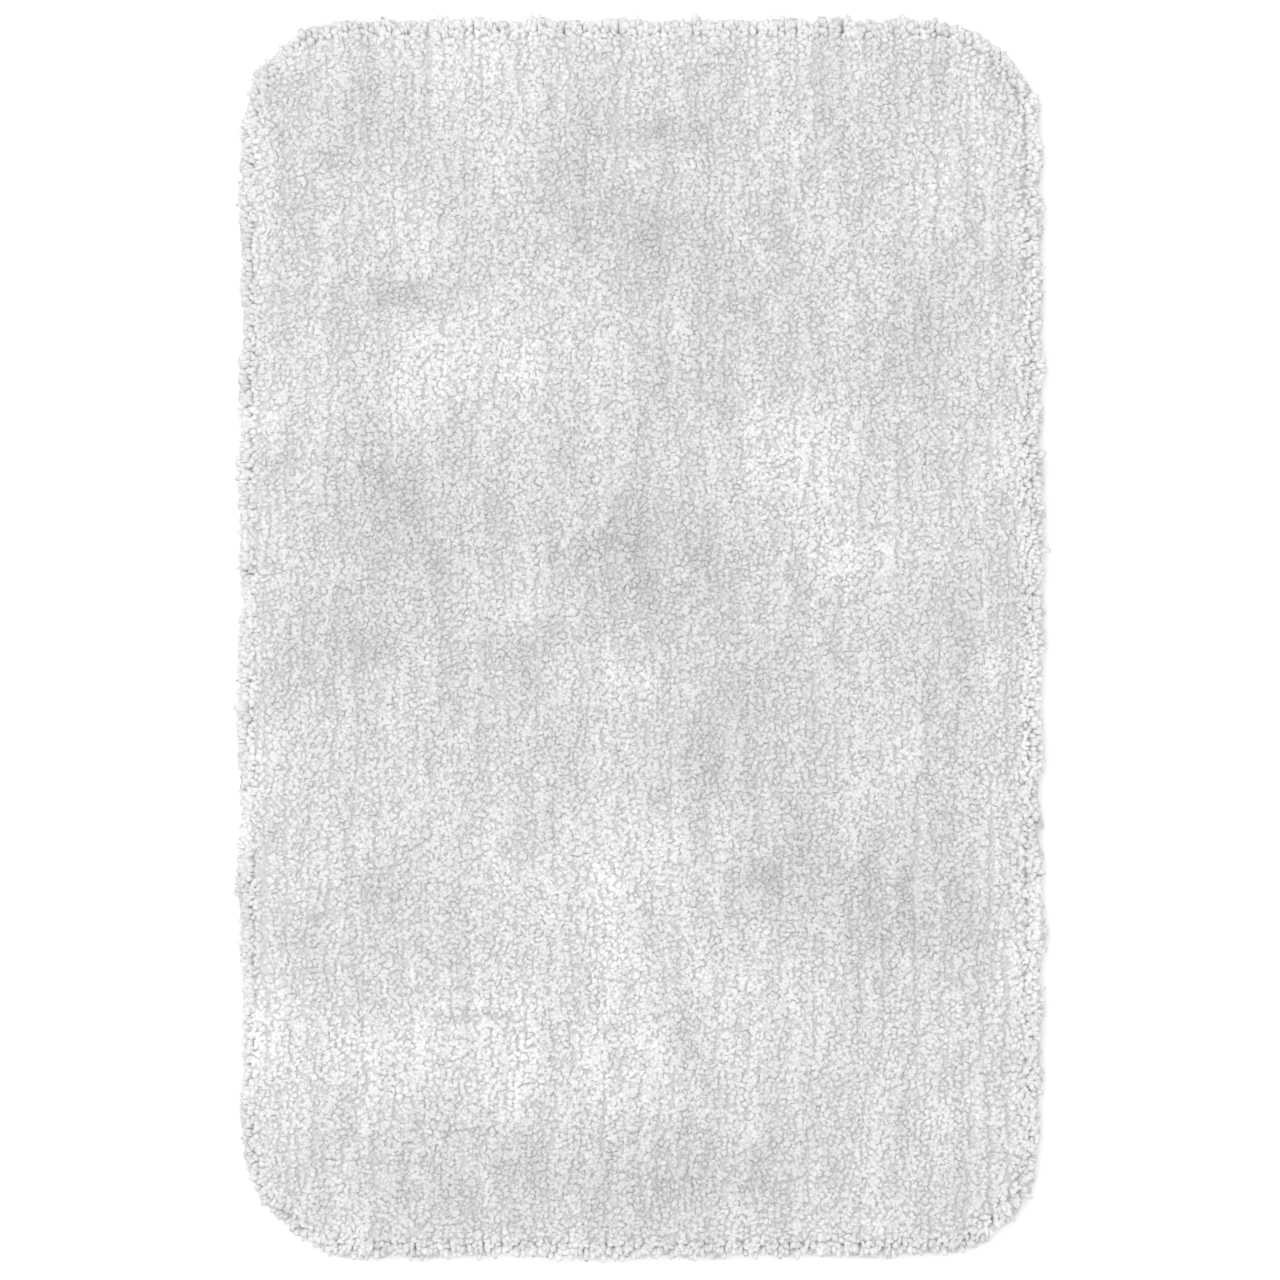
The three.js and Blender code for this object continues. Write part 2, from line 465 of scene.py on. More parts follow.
def outline_walk(inset, pitch):
    """Points along the outline drawn in by inset, with the way out and the way along at each."""
    radius = CORNER_RADIUS - inset
    quarter = math.pi / 2 * radius
    points = []
    for corner, (side_x, side_y) in enumerate(((1, 1), (-1, 1), (-1, -1), (1, -1))):
        turn = corner * math.pi / 2
        side = 2 * (straight_y if corner % 2 == 0 else straight_x)
        out = Vector((math.cos(turn), math.sin(turn)))
        ahead = Vector((-out.y, out.x))
        centre = Vector((side_x * straight_x, side_y * straight_y))
        for step in range(round(side / pitch)):
            way = side * (step / round(side / pitch) - 1)
            points.append((centre + out * radius + ahead * way, out))
        for step in range(round(quarter / pitch)):
            angle = turn + math.pi / 2 * step / round(quarter / pitch)
            spoke = Vector((math.cos(angle), math.sin(angle)))
            points.append((centre + spoke * radius, spoke))
    return np.array([(*place, *out) for place, out in points])


# %% Draw the tape's section and carry it round
TAPE_THICKNESS = 0.7 * MM
TAPE_TURN_UNDER = 8 * MM
TAPE_TURN_OVER = 4 * MM
# Where the wide leg is divided, from the tape's outer edge.
LEG_DIVISIONS = (6 * MM, 4.2 * MM)
FOLD_STEPS = 5
SEAM_STITCH = 3.5 * MM
SECTION_PITCH = 2 * SEAM_STITCH
SECTION_CUTS = 3
PUCKER_DEPTH = 0.16 * MM
PUCKER_REACH = 1.3 * MM
MERGE_REACH = 0.05 * MM

fold_radius = (tape_high.z - tape_low.z - TAPE_THICKNESS) / 2
fold_middle = (tape_high.z + tape_low.z) / 2
fold_inset = TAPE_INSET + TAPE_THICKNESS / 2 + fold_radius


def draw_on(bm, vert, insets):
    """Draws a line on from a vertex, through places at the same height."""
    for inset in insets:
        made = bmesh.ops.extrude_vert_indiv(bm, verts=[vert])
        vert = made["verts"][0]
        vert.co.x = half_width - inset
    return vert


def carry_round(bm, section):
    """Carries a section round the mat: a shift along each side and a quarter turn at each corner."""
    turn = 0.0
    corners = ((1, 1, straight_y), (-1, 1, straight_x), (-1, -1, straight_y), (1, -1, straight_x))
    for side_x, side_y, side in corners:
        ahead = Vector((-math.sin(turn), math.cos(turn), 0))
        count = round(2 * side / SECTION_PITCH)
        shift = ahead * (2 * side / count)
        made = bmesh.ops.spin(bm, geom=section, axis=(0, 0, 1), dvec=shift, angle=0, steps=count)
        made = bmesh.ops.spin(
            bm,
            geom=made["geom_last"],
            cent=(side_x * straight_x, side_y * straight_y, 0),
            axis=(0, 0, 1),
            angle=math.pi / 2,
            steps=round(math.pi / 2 * SEAM_RADIUS / SECTION_PITCH),
        )
        section = made["geom_last"]
        turn += math.pi / 2


bm = bmesh.new()
start_x = half_width - TAPE_INSET - TAPE_TURN_UNDER
start = Vector((start_x, -straight_y, tape_low.z + TAPE_THICKNESS / 2))
vert = bmesh.ops.create_vert(bm, co=start)["vert"][0]
divisions = [TAPE_INSET + way for way in LEG_DIVISIONS]
vert = draw_on(bm, vert, (*divisions, SEAM_INSET, fold_inset))
made = bmesh.ops.spin(
    bm,
    geom=[vert],
    cent=(half_width - fold_inset, -straight_y, fold_middle),
    axis=(0, -1, 0),
    angle=math.pi,
    steps=FOLD_STEPS,
)
vert = verts_in(made["geom_last"])[0]
draw_on(bm, vert, (SEAM_INSET, TAPE_INSET + TAPE_TURN_OVER))
carry_round(bm, bm.verts[:] + bm.edges[:])
bmesh.ops.remove_doubles(bm, verts=bm.verts[:], dist=MERGE_REACH)
lengthwise = [e for e in bm.edges if e.calc_length() > SECTION_PITCH / 2]
bmesh.ops.subdivide_edges(bm, edges=lengthwise, cuts=SECTION_CUTS, use_grid_fill=True)
bmesh.ops.recalc_face_normals(bm, faces=bm.faces[:])
tape_mesh = mesh_from(bm, "binding_tape")
places = np.array([v.co[:] for v in tape_mesh.vertices])
print("tape, box in metres:", places.min(0).round(4), places.max(0).round(4))


# %% Pucker the tape and give it its twill
TWILL = 1.0 * MM


def store(mesh, label, numbers):
    """Keeps one number for each point of a mesh, for its finish to read."""
    values = mesh.attributes.new(label, "FLOAT", "POINT")
    values.data.foreach_set("value", numbers.astype(np.float32))


along = along_edge(places[:, 0], places[:, 1])
tape_inside = from_edge(places[:, 0], places[:, 1])[0]
face_side = np.sign(places[:, 2] - fold_middle)
near_seam = np.exp(-(((tape_inside - SEAM_INSET) / PUCKER_REACH) ** 2))
pull = 0.5 + 0.5 * np.cos(math.tau * along / SEAM_STITCH)
places[:, 2] -= face_side * PUCKER_DEPTH * near_seam * pull
tape_mesh.vertices.foreach_set("co", places.astype(np.float32).ravel())
across = face_side * (tape_inside - TAPE_INSET) + places[:, 2]
store(tape_mesh, "along", along)
store(tape_mesh, "across", across)
tape_mesh.shade_smooth()
twill = Finish("tape_twill", Roughness=0.8, Sheen_Weight=0.15)
ridge = twill.wave(twill.attribute("along") + twill.attribute("across"), TWILL)
fuzz = twill.noise(twill.place(), 1500, 3.0)
twill.colour(twill.mix(ridge * 0.7 + fuzz * 0.3, (0.70, 0.69, 0.68, 1), (0.86, 0.855, 0.85, 1)))
twill.relief(ridge * 0.8 + fuzz * 0.2, 0.18 * MM)
tape = add_piece("binding_tape", tape_mesh, twill, "binding_tape", "edge_binding_tape")
thicken(tape, TAPE_THICKNESS)

# %% [markdown]
# ## The seam's stitches
# A lockstitch shows as a row of short thread lengths on each face, whose ends dive into the tape. Each is a
# small sphere drawn long and bent down at its ends. All of them, about 750 on each face, share one pattern.


# %% Repeat a pattern as one mesh
def mesh_of_arrays(name, coords, corners, starts):
    """A mesh from its points, the points at its faces' corners, and the corner that each face starts at."""
    mesh = bpy.data.meshes.new(name)
    mesh.vertices.add(len(coords))
    mesh.vertices.foreach_set("co", coords.astype(np.float32).ravel())
    mesh.loops.add(len(corners))
    mesh.loops.foreach_set("vertex_index", corners.astype(np.int32))
    mesh.polygons.add(len(starts))
    mesh.polygons.foreach_set("loop_start", starts.astype(np.int32))
    mesh.update(calc_edges=True)
    mesh.shade_smooth()
    return mesh


def mesh_of_copies(name, coords, face_corners, face_starts):
    """One mesh of many copies of a pattern. coords holds every copy's points: copies, points, three."""
    copies, point_count, _ = coords.shape
    order = np.arange(copies)[:, None]
    corners = face_corners + order * point_count
    starts = face_starts + order * len(face_corners)
    return mesh_of_arrays(name, coords.reshape(-1, 3), corners.ravel(), starts.ravel())


# %% Sew the seam
STITCH_HALF_LENGTH = 1.65 * MM
THREAD_RADIUS = 0.26 * MM
STITCH_DIVE = 0.42 * MM

bm = bmesh.new()
bmesh.ops.create_uvsphere(bm, u_segments=6, v_segments=7, radius=1)
bmesh.ops.rotate(bm, verts=bm.verts[:], matrix=Matrix.Rotation(math.pi / 2, 3, "Y"))
stitch_points = np.array([v.co[:] for v in bm.verts])
stitch_corners = np.array([v.index for face in bm.faces for v in face.verts])
stitch_starts = np.cumsum([0] + [len(face.verts) for face in bm.faces][:-1])
bm.free()
walk = outline_walk(SEAM_INSET, SEAM_STITCH)
middle, out = walk[:, None, :2], walk[:, None, 2:]
ahead = np.concatenate([-out[..., 1:], out[..., :1]], axis=2)
run = ahead * stitch_points[:, :1] * STITCH_HALF_LENGTH
girth = out * stitch_points[:, 1:2] * THREAD_RADIUS
flat_part = middle + run + girth
arch = stitch_points[:, 2] * THREAD_RADIUS - STITCH_DIVE * stitch_points[:, 0] ** 2 + THREAD_RADIUS / 2
arches = np.broadcast_to(arch, flat_part.shape[:2])
thread = Finish("sewing_thread", Roughness=0.55, Sheen_Weight=0.2)
ply = thread.wave(thread.coordinate("X") + thread.coordinate("Y"), 0.35 * MM)
thread.colour(thread.mix(ply, (0.66, 0.655, 0.65, 1), (0.92, 0.915, 0.91, 1)))
thread.relief(ply, 0.06 * MM)
needle_coords = np.concatenate([flat_part, (tape_high.z + arches)[..., None]], axis=2)
bobbin_coords = np.concatenate([flat_part, (tape_low.z - arches)[..., None]], axis=2)
needle_mesh = mesh_of_copies("needle_stitches", needle_coords, stitch_corners, stitch_starts)
bobbin_mesh = mesh_of_copies("bobbin_stitches", bobbin_coords, stitch_corners, stitch_starts)
needle_mesh.flip_normals()
needle_thread = add_piece("needle_stitches", needle_mesh, thread, "seam_thread", "binding_needle_thread")
bobbin_thread = add_piece("bobbin_stitches", bobbin_mesh, thread, "seam_thread", "binding_bobbin_thread")
print("stitches on each face:", len(walk))

# %% [markdown]
# ## The care label
# A short satin ribbon is folded in half and caught in the seam, so it lies between the mat and the floor.
# It starts as a flat grid as long as the cut ribbon, and each point is moved to its place along the folded
# line. It carries no words.

# %% Fold the label
LABEL_THICKNESS = 0.12 * MM
LABEL_FOLD_RADIUS = 0.13 * MM
LABEL_DROOP = 0.35 * MM
LABEL_RIPPLE = 0.10 * MM
RIPPLE_TURN = 2.2 * math.pi
RIPPLE_START = 1.0

label_width = label_high.x - label_low.x
label_reach = label_high.y - label_low.y
label_flat = 2 * (label_reach - LABEL_FOLD_RADIUS) + math.pi * LABEL_FOLD_RADIUS
bm = bmesh.new()
bmesh.ops.create_grid(bm, x_segments=12, y_segments=80, size=1)
bmesh.ops.scale(bm, vec=(label_width / 2, label_flat / 2, 1), verts=bm.verts[:])
single = label_reach - LABEL_FOLD_RADIUS
for v in bm.verts:
    way = v.co.y + label_flat / 2
    bend = min(max((way - single) / LABEL_FOLD_RADIUS, 0), math.pi)
    reach = min(way, single, label_flat - way) + LABEL_FOLD_RADIUS * math.sin(bend)
    share = reach / label_reach
    ripple = LABEL_RIPPLE * share * math.sin(RIPPLE_TURN * v.co.x / label_width + RIPPLE_START)
    v.co.y = label_low.y + reach
    v.co.z = label_low.z + LABEL_FOLD_RADIUS * (1 - math.cos(bend)) - LABEL_DROOP * share**2 + ripple
bmesh.ops.recalc_face_normals(bm, faces=bm.faces[:])
label_mesh = mesh_from(bm, "folded_label")
label_mesh.shade_smooth()
satin = Finish("satin_ribbon", Roughness=0.35, Sheen_Weight=0.3)
float_lines = satin.wave(satin.coordinate("X"), 0.3 * MM)
slubs = satin.noise(satin.place((1, 12, 1)), 300, 2.0)
satin.colour(satin.mix(float_lines * 0.5 + slubs * 0.5, (0.80, 0.80, 0.79, 1), (0.92, 0.92, 0.91, 1)))
satin.relief(float_lines, 0.03 * MM)
satin.roughness(satin.between(slubs, 0.3, 0.7, 0.28, 0.45))
ribbon = add_piece("folded_label", label_mesh, satin, "label_satin", "care_label")
thicken(ribbon, LABEL_THICKNESS)
print("label, cut length in millimetres:", round(label_flat / MM, 1))

# %% [markdown]
# ## One tuft of yarn
# A tuft is a short bundle of very fine fibres, tight where it is stitched into the cloth and loose at its
# cut end. A hair system would give every fibre, but it can't be kept as a mesh. Here a tuft is a small
# closed shape: a ring of a few sides, drawn out step by step, with a cap of triangles on top. A few
# different ones are made, some with a rounded tip and some with a dimple where the fibres part, and all
# other tufts are bent copies of them. Each is one unit high, and its radius is one unit at its widest.

# %% Model the tuft patterns
random = np.random.default_rng(57)
TUFT_SIDES = 5
EDGE_TUFT_SIDES = 6
TUFT_STATIONS = ((0.0, 0.40), (0.94, 1.0))
EDGE_TUFT_STATIONS = ((0.0, 0.55), (0.30, 0.80), (0.60, 0.98), (0.82, 0.96), (0.955, 0.62))
LUMPINESS = 0.42
EDGE_LUMPINESS = 0.16
RING_TILT = 0.02
TIP_HEIGHTS = (1.0, 1.0, 0.93, 1.0, 0.90, 1.0, 0.94, 1.0)


def ring_edges(verts):
    """The edges that join the vertices of one ring."""
    ring = set(verts)
    edges = {e for v in verts for e in v.link_edges if e.verts[0] in ring and e.verts[1] in ring}
    return list(edges)


def uneven(verts, lumpiness):
    """Pushes each vertex of a ring in or out a little, and up or down."""
    for v in verts:
        push = 1 + random.uniform(-lumpiness, lumpiness)
        v.co.x *= push
        v.co.y *= push
        v.co.z += random.uniform(-1, 1) * RING_TILT


def tuft_pattern(sides, stations, lumpiness, tip_height):
    """A closed tuft, drawn out from its root ring and capped with a fan of triangles."""
    bm = bmesh.new()
    made = bmesh.ops.create_circle(bm, cap_ends=True, segments=sides, radius=stations[0][1])
    ring = made["verts"]
    bmesh.ops.reverse_faces(bm, faces=bm.faces[:])
    radius = stations[0][1]
    height = 0.0
    for station, wide in stations[1:]:
        made = bmesh.ops.extrude_edge_only(bm, edges=ring_edges(ring))
        ring = verts_in(made["geom"])
        bmesh.ops.scale(bm, vec=(wide / radius, wide / radius, 1), verts=ring)
        bmesh.ops.translate(bm, vec=(0, 0, station - height), verts=ring)
        radius, height = wide, station
        uneven(ring, lumpiness)
    top = bmesh.ops.contextual_create(bm, geom=ring_edges(ring))["faces"]
    tip = bmesh.ops.poke(bm, faces=top)["verts"]
    for v in tip:
        v.co.z = tip_height
    bmesh.ops.recalc_face_normals(bm, faces=bm.faces[:])
    return bm


def pattern_arrays(bm):
    """A pattern's points, its faces' corners, where each face starts, and a place on a tuft's own map."""
    points = np.array([v.co[:] for v in bm.verts])
    corners = []
    starts = []
    spots = []
    for face in bm.faces:
        starts.append(len(corners))
        middle = face.calc_center_median()
        turn = math.atan2(middle.y, middle.x) / math.tau
        for v in face.verts:
            corners.append(v.index)
            if len(face.verts) > 4:
                spots.append((0.5 + 0.3 * v.co.x, 0.06 + 0.05 * v.co.y))
                continue
            around = math.atan2(v.co.y, v.co.x) / math.tau
            if math.hypot(v.co.x, v.co.y) < SAME_PLACE:
                around = turn
            around += round(turn - around)
            spots.append((0.5 + 0.88 * around, 0.14 + 0.82 * min(v.co.z, 1.0)))
    bm.free()
    return points, np.array(corners), np.array(starts), np.array(spots)


def pattern_set(sides, stations, lumpiness):
    """One pattern for each height of tip."""
    return [pattern_arrays(tuft_pattern(sides, stations, lumpiness, tip)) for tip in TIP_HEIGHTS]


inner_patterns = pattern_set(TUFT_SIDES, TUFT_STATIONS, LUMPINESS)
edge_patterns = pattern_set(EDGE_TUFT_SIDES, EDGE_TUFT_STATIONS, EDGE_LUMPINESS)
print("faces in a tuft:", len(inner_patterns[0][2]), "and at the edge:", len(edge_patterns[0][2]))

# %% [markdown]
# ## Where the tufts stand
# The needles of a tufting machine stand 3.97 mm apart, so the tufts stand in rows along the mat. Along a
# row there is a stitch about every 3 mm, and a knife cuts each stitch's loop, so each gives two ends, which
# spring a little apart. The roots lie inside the turned-over tape. At the edge, where the pile fans out,
# three more rings of tufts follow the outline.

# %% Root the tufts in rows
ROWS_PER_BAND = 10
BAND_COUNT = 13
# The outermost bands also take the extra rows nearest to the edge.
EXTRA_ROWS = 2
ROW_COUNT = ROWS_PER_BAND * BAND_COUNT + 2 * EXTRA_ROWS
END_SPREAD = 0.60 * MM
ROOT_CLEARANCE = 0.6 * MM
ROOT_INSET = TAPE_INSET + TAPE_TURN_OVER + ROOT_CLEARANCE
# How far a root strays from its place, in millimetres: across a row, along it, and in a ring.
STRAY_ACROSS = 0.22
STRAY_ALONG = 0.40
STRAY_IN_RING = 0.35
# The rings at the edge: how far inside the last root, how far they fall, and their share of full length.
RINGS = ((0.2 * MM, 70, 0.56), (1.2 * MM, 54, 0.68), (2.4 * MM, 42, 0.82))
RING_PITCH = 2.4 * MM


def row_roots():
    """Two cut ends for each stitch, in straight rows along the mat, each row started at its own place."""
    end_count = 2 * int(2 * half_length / STITCH_PITCH)
    row = np.repeat(np.arange(ROW_COUNT), end_count)
    end = np.tile(np.arange(end_count), ROW_COUNT)
    start = random.uniform(0, 2, ROW_COUNT)[row]
    side = np.where(end % 2 == 0, -1, 1)
    x = (row - (ROW_COUNT - 1) / 2) * ROW_PITCH + side * END_SPREAD
    y = (end + start - end_count / 2) * STITCH_PITCH / 2
    x = x + random.normal(0, STRAY_ACROSS, len(x)) * MM
    y = y + random.normal(0, STRAY_ALONG, len(y)) * MM
    keep = from_edge(x, y)[0] > ROOT_INSET
    return x[keep], y[keep]


def ring_roots(inset):
    """Roots that follow the outline."""
    walk = outline_walk(inset, RING_PITCH)
    count = len(walk)
    x = walk[:, 0] + random.normal(0, STRAY_IN_RING, count) * MM
    y = walk[:, 1] + random.normal(0, STRAY_IN_RING, count) * MM
    return x, y


row_x, row_y = row_roots()
rings = [ring_roots(ROOT_INSET + further) for further, fall, share in RINGS]
root_x = np.concatenate([row_x] + [ring[0] for ring in rings])
root_y = np.concatenate([row_y] + [ring[1] for ring in rings])
ring_number = np.repeat(np.arange(len(rings) + 1), [len(row_x)] + [len(ring[0]) for ring in rings])
tuft_row = np.clip(np.round(root_x / ROW_PITCH + (ROW_COUNT - 1) / 2), 0, ROW_COUNT - 1).astype(int)
tuft_band = np.clip((tuft_row - EXTRA_ROWS) // ROWS_PER_BAND, 0, BAND_COUNT - 1)
print("tufts:", len(root_x))

# %% [markdown]
# ## How the pile lies
# A brushed pile never stands straight. Hands, feet and the washing machine leave patches where it leans one
# way or another, and the patches catch the light differently; the same numbers also paint that light and
# shade into the yarn's colour. Four scales of lean are added up: wide patches, smaller ones, clumps of a
# few tufts, and a lean that a whole row shares, which leaves faint lines along the mat. Two short partings
# are pressed into it, with painted shade along them, and the edge fans out over the tape.


# %% Draw the lean of every tuft
def drift(x, y, reach_x, reach_y):
    """Smooth random numbers from -1 to 1 that change over about this far across and along the mat."""
    u = (x + half_width) / reach_x + 1
    v = (y + half_length) / reach_y + 1
    grid = random.uniform(-1, 1, (int(v.max()) + 3, int(u.max()) + 3))
    column = np.floor(u).astype(int)
    line = np.floor(v).astype(int)
    a = u - column
    b = v - line
    a = a * a * (3 - 2 * a)
    b = b * b * (3 - 2 * b)
    lower = grid[line, column] * (1 - a) + grid[line, column + 1] * a
    upper = grid[line + 1, column] * (1 - a) + grid[line + 1, column + 1] * a
    return lower * (1 - b) + upper * b


# Places where the pile was stroked: centre and reach in millimetres, then how light or dark it looks. The
# last number sets the patch's lean and is also painted into the yarn's colour, as light above 0 and shade
# below.
STROKES = (
    (-160, 90, 44, 54, -0.85),
    (5, 56, 76, 46, -0.75),
    (-82, -8, 50, 22, -0.6),
    (55, -76, 40, 52, -0.5),
    (115, -162, 50, 34, -0.8),
    (192, -196, 50, 34, -0.5),
    (-5, -376, 112, 20, -0.45),
    (-232, 322, 32, 70, -0.5),
    (-13, 276, 60, 34, -0.55),
    (12, 349, 46, 10, -0.85),
    (-159, 233, 28, 11, -1.1),
    (167, 181, 26, 46, -0.7),
    (210, 233, 34, 40, -0.5),
    (-194, 0, 40, 28, -0.4),
    (227, 27, 40, 44, -0.45),
    (-176, -175, 30, 10, -0.5),
    (29, -273, 14, 40, -0.4),
    (-103, 387, 60, 30, 0.5),
    (-176, 284, 40, 30, 0.5),
    (-118, 194, 62, 44, 0.6),
    (201, 319, 36, 44, 0.6),
    (110, 136, 52, 38, 0.5),
    (126, 66, 60, 46, 0.6),
    (-24, -25, 36, 14, 0.55),
    (-13, -162, 50, 54, 0.65),
    (-202, -282, 64, 38, 0.9),
    (-56, -282, 96, 44, 0.95),
    (98, -265, 50, 40, 0.4),
)
# Partings, where two strokes meet: centre, half length, and slope of the line.
PARTINGS = (
    (-112, -258, 27, 0.05),
    (-220, -192, 12, 0.12),
)

# A drift is given as its strength, then its reach across and along the mat in metres.
LAY_PATCHES = ((0.20, 0.060, 0.110), (0.28, 0.012, 0.032))
LAY_OF_A_ROW = 0.40
LAY_CLUMPS = ((0.35, 0.0055, 0.0085),)
STROKE_STRENGTH = 1.05
STROKE_RAGGEDNESS = 0.45
LAY_LIMIT = 1.5


def drifts(scales):
    """Drifts of several strengths and reaches, added up."""
    return sum(strength * drift(root_x, root_y, across, along) for strength, across, along in scales)


def row_drift(rows, reach_along):
    """A drift that the tufts of a row share, and that changes over so many rows."""
    return drift(tuft_row * ROW_PITCH - half_width, root_y, rows * ROW_PITCH, reach_along)


lay_and_painted_light = drifts(LAY_PATCHES)
lay_and_painted_light = lay_and_painted_light + LAY_OF_A_ROW * row_drift(1.2, 0.05)
lay_and_painted_light = lay_and_painted_light + drifts(LAY_CLUMPS)
ragged = 1 + STROKE_RAGGEDNESS * drift(root_x, root_y, 0.018, 0.036)
for at_x, at_y, reach_x, reach_y, light in STROKES:
    away = ((root_x / MM - at_x) / reach_x) ** 2 + ((root_y / MM - at_y) / reach_y) ** 2
    lay_and_painted_light = lay_and_painted_light + STROKE_STRENGTH * light * np.exp(-away) * ragged
lay_and_painted_light = np.clip(lay_and_painted_light, -LAY_LIMIT, LAY_LIMIT)

# %% Lean the tufts as the pile lies
LEAN_RIGHT = 0.05
LEAN_DOWN = 0.04
LEAN_BY_LAY = 0.17
LEAN_DRIFT = 0.10
# Clumps: their reach across the mat, how much longer they are along it, and how strongly they lean.
CLUMPS = ((0.024, 0.07), (0.0125, 0.11), (0.0070, 0.09))
CLUMP_STRETCH = 1.25
OWN_LEAN = 0.055

# Light patches lean towards the lower right, so that their lit sides show, and dark ones the other way.
lean_x = LEAN_RIGHT + LEAN_BY_LAY * lay_and_painted_light + LEAN_DRIFT * drift(root_x, root_y, 0.045, 0.060)
lean_y = -LEAN_DOWN - LEAN_BY_LAY * lay_and_painted_light + LEAN_DRIFT * drift(root_x, root_y, 0.050, 0.050)
for size, strength in CLUMPS:
    lean_x = lean_x + strength * drift(root_x, root_y, size, size * CLUMP_STRETCH)
    lean_y = lean_y + strength * drift(root_x, root_y, size, size * CLUMP_STRETCH)


def share_beyond(distance, start, run):
    """0 before start, then rising to 1 over the run."""
    return np.clip((distance - start) / run, 0, 1)


# Rows that lean together leave lines along the mat, clearest near its long sides and its top end.
side_share = share_beyond(np.abs(root_x), 0.14, 0.12)
top_share = share_beyond(root_y, 0.22, 0.16)
lines = 0.10 + 0.13 * np.maximum(side_share, top_share)
lean_x = lean_x + lines * row_drift(1.5, 0.09)
# Near the bottom end the pile lies in faint cross ripples instead.
ripple_share = share_beyond(-root_y, 0.25, 0.12)
lean_y = lean_y + 0.12 * ripple_share * drift(root_x, root_y, 0.09, 0.009)

# Every tuft has a lean of its own.
lean_x = lean_x + random.normal(0, OWN_LEAN, len(root_x))
lean_y = lean_y + random.normal(0, OWN_LEAN, len(root_x))

# %% Press the partings in
PARTING_WANDER = 1.5
PARTING_SPREAD = 6.0
PARTING_WIDTH = 1.8
PARTING_LEAN = 0.10
PARTING_PAINTED_SHADE = 1.2

for at_x, at_y, half_line, slope in PARTINGS:
    along_line = (root_x / MM - at_x) / half_line
    wander = PARTING_WANDER * np.sin(along_line * 4)
    off_line = root_y / MM - at_y - slope * (root_x / MM - at_x) - wander
    near_line = np.exp(-(along_line**4)) * np.exp(-((off_line / PARTING_SPREAD) ** 2))
    lean_y = lean_y + PARTING_LEAN * np.sign(off_line) * near_line
    # Painted shade: the yarn along each parting is painted darker, for the shade in the crease.
    lay_and_painted_light = lay_and_painted_light - PARTING_PAINTED_SHADE * np.exp(-(along_line**4)) * np.exp(-((off_line / PARTING_WIDTH) ** 2))

# %% [markdown]
# ## The fan at the edge
# Nothing holds the outermost tufts up from outside, so they fall outwards over the tape, the last ones
# furthest. How far a tuft falls depends on how far its root lies from the last row. The fallen tufts are
# painted lighter, as painted light.

# %% Fan the edge out
PILE_LENGTH = 21.2 * MM
FAN_REACH = 14.0 * MM
FAN_ANGLE = 30
FAN_SPREAD = 0.20
FAN_SHAPE = 1.3
EDGE_WAVE = 0.13
EDGE_PAINTED_LIGHT = 0.5
EDGE_SWELLS = ((0.17, 0.018, 0.018), (0.12, 0.007, 0.007))
LENGTH_NOISE = 0.020
LENGTH_DRIFT = 0.034
# The lower left corner is rounder than the others: its tufts fall less.
ROUND_CORNER = (-252 * MM, -402 * MM)
ROUND_CORNER_REACH = 48 * MM
ROUND_CORNER_SHARE = 0.42
# The share of its own lean that a tuft at the edge loses, and the furthest that a tip lies to the side.
LEAN_LOST = 0.6
FURTHEST_SHARE = 0.96

edge_inside, out_x, out_y = from_edge(root_x, root_y)
from_last_row = np.maximum(edge_inside - ROOT_INSET, 0)
fan = np.where(ring_number > 0, 1, np.exp(-((from_last_row / FAN_REACH) ** FAN_SHAPE)))
fan_angle = np.radians(np.array([FAN_ANGLE] + [ring[1] for ring in RINGS]))[ring_number]
fan_length = np.array([1] + [ring[2] for ring in RINGS])[ring_number]
corner_away = np.hypot(root_x - ROUND_CORNER[0], root_y - ROUND_CORNER[1]) / ROUND_CORNER_REACH
corner_share = ROUND_CORNER_SHARE * np.exp(-(corner_away**2))
uneven_edge = 1 + EDGE_WAVE * drift(root_x, root_y, 0.026, 0.026) - corner_share
fall = fan * fan_angle * (uneven_edge + FAN_SPREAD * random.normal(0, 1, len(root_x)))
length_noise = random.normal(0, LENGTH_NOISE, len(root_x))
length = PILE_LENGTH * (1 + length_noise + LENGTH_DRIFT * drift(root_x, root_y, 0.007, 0.010))
edge_swell = drifts(EDGE_SWELLS)
# Painted light: tufts are painted lighter the more they fan out at the edge.
lay_and_painted_light = lay_and_painted_light + EDGE_PAINTED_LIGHT * fan
length = length * fan_length * (1 + np.where(ring_number > 0, edge_swell, 0.5 * fan * edge_swell))

# The pile's own lean, as the tip's shift per unit of length, fades where the fan takes over.
own_share = 1 - LEAN_LOST * fan
tip_x = (lean_x * own_share + out_x * np.sin(fall)) * length
tip_y = (lean_y * own_share + out_y * np.sin(fall)) * length
sideways = np.hypot(tip_x, tip_y)
scale_back = np.minimum(1, FURTHEST_SHARE * length / np.maximum(sideways, NEVER_ZERO))
tip_x = tip_x * scale_back
tip_y = tip_y * scale_back
sideways = np.hypot(tip_x, tip_y)
tip_z = np.sqrt(length**2 - sideways**2)
print("highest tip, in millimetres:", round((cloth_high.z + tip_z.max()) / MM, 1))
tip_inside = from_edge(root_x + tip_x, root_y + tip_y)[0]
print("furthest tip outside the mat's outline:", round(-tip_inside.min() / MM, 1))

# %% [markdown]
# ## Planting the tufts
# Each band of rows is one mesh, made of bent copies of the tuft patterns. A tuft's own line is a curve with
# three control points: it leaves the cloth upright and bends towards its tip. Its rings stand square to
# that line. The copies are worked out all at once as arrays, because seventy thousand separate operator
# calls would take minutes. Each tuft also gets its own cell of the band's UV map, and numbers for its tone,
# for its height along the yarn and for the lay of the pile, which the finish reads; the height and the lay
# become painted shade and light in its colour.

